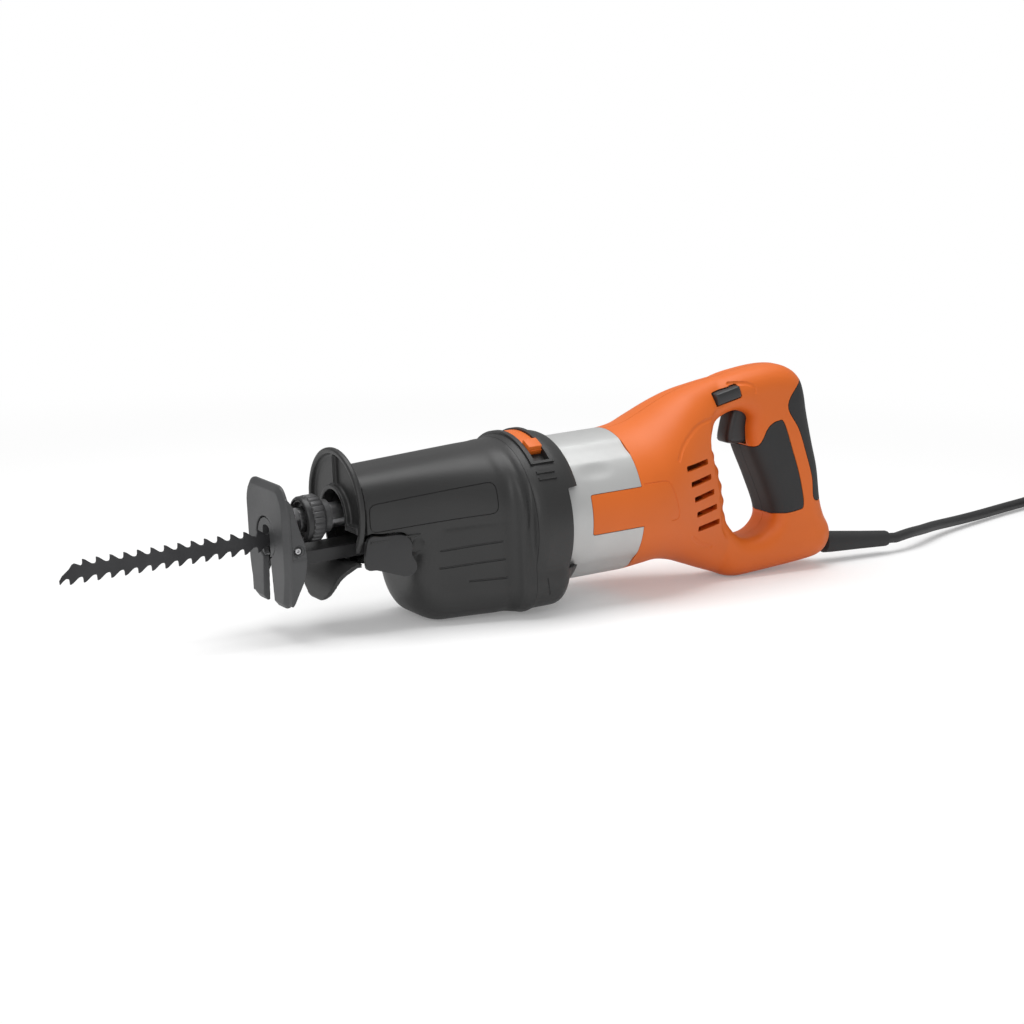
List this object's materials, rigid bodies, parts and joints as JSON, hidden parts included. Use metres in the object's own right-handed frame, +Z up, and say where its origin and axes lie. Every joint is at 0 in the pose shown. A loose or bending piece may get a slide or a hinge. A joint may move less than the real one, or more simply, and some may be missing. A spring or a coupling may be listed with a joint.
{
  "type": "reciprocating saw",
  "caption": "Corded reciprocating saw with a D-shaped rear handle, a round motor body, a tilting shoe and a double-edged pruning blade.",
  "frame": {"origin": "on the floor under the middle of the saw without its lead, where the chin and the handle's heel stand", "axes": "+X from the blade's tip towards the handle, +Y to the saw's right, +Z up"},
  "size_m": [0.9469, 0.1668, 0.1455],
  "materials": {
    "orange_plastic": "satin",
    "black_plastic": "matte",
    "black_rubber": "matte",
    "silver_paint": "satin",
    "grey_casting": "satin",
    "dark_steel": "dark oiled",
    "bright_steel": "satin",
    "brass": "satin",
    "copper": "satin",
    "carbon": "matte"
  },
  "bodies": {
    "housing": {"brush_bridge": "black_plastic", "brush_holder_left": "brass", "brush_holder_right": "brass", "brush_left": "carbon", "brush_right": "carbon", "casing_left": "black_plastic", "casing_right": "black_plastic", "casing_screw_1": "dark_steel", "casing_screw_2": "dark_steel", "casing_screw_3": "dark_steel", "casing_screw_4": "dark_steel", "coil_tie": "black_plastic", "collar_band": "black_plastic", "cord_coil": "black_rubber", "cord_lead": "black_rubber", "finger_guard": "black_plastic", "front_bearing": "bright_steel", "front_bush": "brass", "gear_frame": "grey_casting", "gear_post": "bright_steel", "grip_front_left": "black_rubber", "grip_front_right": "black_rubber", "grip_rear_left": "black_rubber", "grip_rear_right": "black_rubber", "handle_left": "orange_plastic", "handle_right": "orange_plastic", "handle_screw_1": "dark_steel", "handle_screw_2": "dark_steel", "handle_screw_3": "dark_steel", "handle_screw_4": "dark_steel", "lever_pin": "bright_steel", "motor_housing": "silver_paint", "plug_body": "black_rubber", "plug_pin_left": "bright_steel", "plug_pin_right": "bright_steel", "rear_bearing": "bright_steel", "rear_bush": "brass", "stator": "dark_steel", "strain_relief": "black_rubber", "switch_body": "black_plastic", "trigger_pin": "bright_steel"},
    "plunger": {"plunger": "bright_steel", "saw_blade": "dark_steel", "clamp_pin": "bright_steel", "clamp_retainer": "bright_steel"},
    "clamp": {"clamp_collar": "dark_steel"},
    "shoe_arm": {"shoe_bracket": "grey_casting", "shoe_pivot_left": "bright_steel", "shoe_pivot_right": "bright_steel"},
    "shoe": {"shoe_plate": "grey_casting"},
    "lever": {"shoe_lever": "black_plastic"},
    "selector": {"selector_slider": "orange_plastic"},
    "trigger": {"trigger": "black_plastic"},
    "lock_button": {"lock_button": "black_plastic"},
    "armature": {"armature_shaft": "bright_steel", "armature_core": "dark_steel", "commutator": "copper", "cooling_fan": "black_plastic"},
    "gear": {"crown_gear": "dark_steel"}
  },
  "joints": [
    {"name": "plunger_slide", "type": "slide", "parent": "housing", "child": "plunger", "axis": [-0.9988, 0, -0.0491], "range_m": [-0.02, 0]},
    {"name": "collar_twist", "type": "hinge", "parent": "plunger", "child": "clamp", "pos_m": [-0.11294, 0, 0.07308], "axis": [0.9988, 0, 0.0491], "range_deg": [0, 60], "stiffness_Nm_per_rad": 0.05, "springref_deg": -11.46},
    {"name": "shoe_slide", "type": "slide", "parent": "housing", "child": "shoe_arm", "axis": [-0.9988, 0, -0.0491], "range_m": [0, 0.015]},
    {"name": "shoe_tilt", "type": "hinge", "parent": "shoe_arm", "child": "shoe", "pos_m": [-0.13728, 0, 0.05887], "axis": [0, 1, 0], "range_deg": [-10, 10]},
    {"name": "lever_swing", "type": "hinge", "parent": "housing", "child": "lever", "pos_m": [-0.0728, -0.03278, 0.06104], "axis": [-0.9988, 0, -0.0491], "range_deg": [0, 60]},
    {"name": "selector_turn", "type": "hinge", "parent": "housing", "child": "selector", "pos_m": [0.03786, 0, 0.06046], "axis": [0.9988, 0, 0.0491], "range_deg": [-29.5, 9.5]},
    {"name": "trigger_pull", "type": "hinge", "parent": "housing", "child": "trigger", "pos_m": [0.21019, 0, 0.11899], "axis": [0, -1, 0], "range_deg": [0, 9], "stiffness_Nm_per_rad": 0.3, "springref_deg": -8.59},
    {"name": "lock_button_press", "type": "slide", "parent": "housing", "child": "lock_button", "axis": [0, 1, 0], "range_m": [0, 0.0025], "stiffness_N_per_m": 400, "springref_m": -0.001},
    {"name": "motor_spin", "type": "hinge", "parent": "housing", "child": "armature", "pos_m": [0.09379, 0, 0.06321], "axis": [0.9988, 0, 0.0491], "continuous": true},
    {"name": "gear_spin", "type": "hinge", "parent": "housing", "child": "gear", "pos_m": [-0.02056, 0, 0.04708], "axis": [-0.0491, 0, 0.9988], "continuous": true}
  ],
  "couplings": [
    {"joint": "gear_spin", "follows": "motor_spin", "ratio": 0.25}
  ]
}
